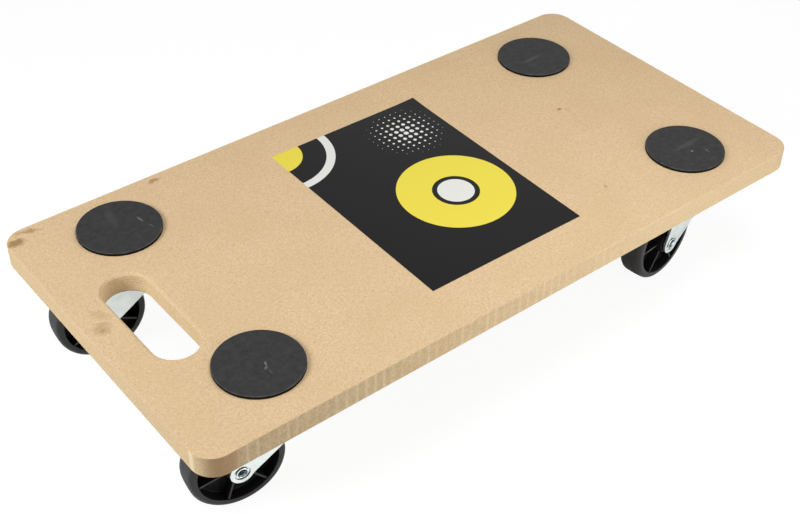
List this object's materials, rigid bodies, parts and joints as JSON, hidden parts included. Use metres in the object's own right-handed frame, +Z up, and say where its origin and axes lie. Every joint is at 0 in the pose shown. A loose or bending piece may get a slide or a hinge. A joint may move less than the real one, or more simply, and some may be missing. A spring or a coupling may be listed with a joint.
{
  "type": "platform dolly",
  "caption": "Flat rectangular fibreboard platform dolly with a slotted hand hole at one end, round rubber grip pads on top and a ribbed plastic swivel caster under each corner.",
  "frame": {"origin": "on the floor under the middle of the deck board, with the wheels at rest on it", "axes": "+X along the deck's long side, away from the hand hole; +Y across the deck; +Z up, from the floor to the pads"},
  "size_m": [0.58, 0.29, 0.1145],
  "materials": {
    "deck_fibreboard": "bare medium density fibreboard, sanded faces, sawn and routed edges",
    "pad_rubber": "matt black rubber with light scuffs",
    "label_print": "printed sheet, satin, plain black, yellow and white shapes",
    "zinc_plate": "pressed steel, bright zinc plated",
    "screw_steel": "zinc plated steel",
    "ball_steel": "greased bearing balls",
    "wheel_plastic": "moulded black polypropylene, satin"
  },
  "bodies": {
    "deck": {"deck_board": "deck_fibreboard", "label_sheet": "label_print", "front_left_grip_pad": "pad_rubber", "front_right_grip_pad": "pad_rubber", "rear_left_grip_pad": "pad_rubber", "rear_right_grip_pad": "pad_rubber", "front_left_mounting_plate": "zinc_plate", "front_left_king_pin": "zinc_plate", "front_left_race_cup": "zinc_plate", "front_left_plate_screws": "screw_steel", "front_right_mounting_plate": "zinc_plate", "front_right_king_pin": "zinc_plate", "front_right_race_cup": "zinc_plate", "front_right_plate_screws": "screw_steel", "rear_left_mounting_plate": "zinc_plate", "rear_left_king_pin": "zinc_plate", "rear_left_race_cup": "zinc_plate", "rear_left_plate_screws": "screw_steel", "rear_right_mounting_plate": "zinc_plate", "rear_right_king_pin": "zinc_plate", "rear_right_race_cup": "zinc_plate", "rear_right_plate_screws": "screw_steel"},
    "front_left_caster": {"front_left_fork": "zinc_plate", "front_left_axle_rivet": "zinc_plate", "front_left_axle_sleeve": "zinc_plate"},
    "front_left_roller": {"front_left_wheel": "wheel_plastic"},
    "front_left_ball_set": {"front_left_upper_balls": "ball_steel", "front_left_lower_balls": "ball_steel"},
    "front_right_caster": {"front_right_fork": "zinc_plate", "front_right_axle_rivet": "zinc_plate", "front_right_axle_sleeve": "zinc_plate"},
    "front_right_roller": {"front_right_wheel": "wheel_plastic"},
    "front_right_ball_set": {"front_right_upper_balls": "ball_steel", "front_right_lower_balls": "ball_steel"},
    "rear_left_caster": {"rear_left_fork": "zinc_plate", "rear_left_axle_rivet": "zinc_plate", "rear_left_axle_sleeve": "zinc_plate"},
    "rear_left_roller": {"rear_left_wheel": "wheel_plastic"},
    "rear_left_ball_set": {"rear_left_upper_balls": "ball_steel", "rear_left_lower_balls": "ball_steel"},
    "rear_right_caster": {"rear_right_fork": "zinc_plate", "rear_right_axle_rivet": "zinc_plate", "rear_right_axle_sleeve": "zinc_plate"},
    "rear_right_roller": {"rear_right_wheel": "wheel_plastic"},
    "rear_right_ball_set": {"rear_right_upper_balls": "ball_steel", "rear_right_lower_balls": "ball_steel"}
  },
  "joints": [
    {"name": "front_left_swivel", "type": "hinge", "parent": "deck", "child": "front_left_caster", "pos_m": [-0.2105, -0.0945, 0.09401], "axis": [0, 0, 1], "continuous": true},
    {"name": "front_left_roll", "type": "hinge", "parent": "front_left_caster", "child": "front_left_roller", "pos_m": [-0.23815, -0.09007, 0.0375], "axis": [-0.1582, -0.9874, 0], "continuous": true},
    {"name": "front_left_ball_orbit", "type": "hinge", "parent": "deck", "child": "front_left_ball_set", "pos_m": [-0.2105, -0.0945, 0.09401], "axis": [0, 0, 1], "continuous": true},
    {"name": "front_right_swivel", "type": "hinge", "parent": "deck", "child": "front_right_caster", "pos_m": [-0.2105, 0.1025, 0.09401], "axis": [0, 0, 1], "continuous": true},
    {"name": "front_right_roll", "type": "hinge", "parent": "front_right_caster", "child": "front_right_roller", "pos_m": [-0.23832, 0.10567, 0.0375], "axis": [-0.1132, -0.9936, 0], "continuous": true},
    {"name": "front_right_ball_orbit", "type": "hinge", "parent": "deck", "child": "front_right_ball_set", "pos_m": [-0.2105, 0.1025, 0.09401], "axis": [0, 0, 1], "continuous": true},
    {"name": "rear_left_swivel", "type": "hinge", "parent": "deck", "child": "rear_left_caster", "pos_m": [0.2145, -0.0945, 0.09401], "axis": [0, 0, 1], "continuous": true},
    {"name": "rear_left_roll", "type": "hinge", "parent": "rear_left_caster", "child": "rear_left_roller", "pos_m": [0.18675, -0.0982, 0.0375], "axis": [0.1323, -0.9912, 0], "continuous": true},
    {"name": "rear_left_ball_orbit", "type": "hinge", "parent": "deck", "child": "rear_left_ball_set", "pos_m": [0.2145, -0.0945, 0.09401], "axis": [0, 0, 1], "continuous": true},
    {"name": "rear_right_swivel", "type": "hinge", "parent": "deck", "child": "rear_right_caster", "pos_m": [0.2145, 0.1025, 0.09401], "axis": [0, 0, 1], "continuous": true},
    {"name": "rear_right_roll", "type": "hinge", "parent": "rear_right_caster", "child": "rear_right_roller", "pos_m": [0.18651, 0.10177, 0.0375], "axis": [0.0262, -0.9997, 0], "continuous": true},
    {"name": "rear_right_ball_orbit", "type": "hinge", "parent": "deck", "child": "rear_right_ball_set", "pos_m": [0.2145, 0.1025, 0.09401], "axis": [0, 0, 1], "continuous": true}
  ],
  "couplings": [
    {"joint": "front_left_ball_orbit", "follows": "front_left_swivel", "ratio": 0.5},
    {"joint": "front_right_ball_orbit", "follows": "front_right_swivel", "ratio": 0.5},
    {"joint": "rear_left_ball_orbit", "follows": "rear_left_swivel", "ratio": 0.5},
    {"joint": "rear_right_ball_orbit", "follows": "rear_right_swivel", "ratio": 0.5}
  ]
}
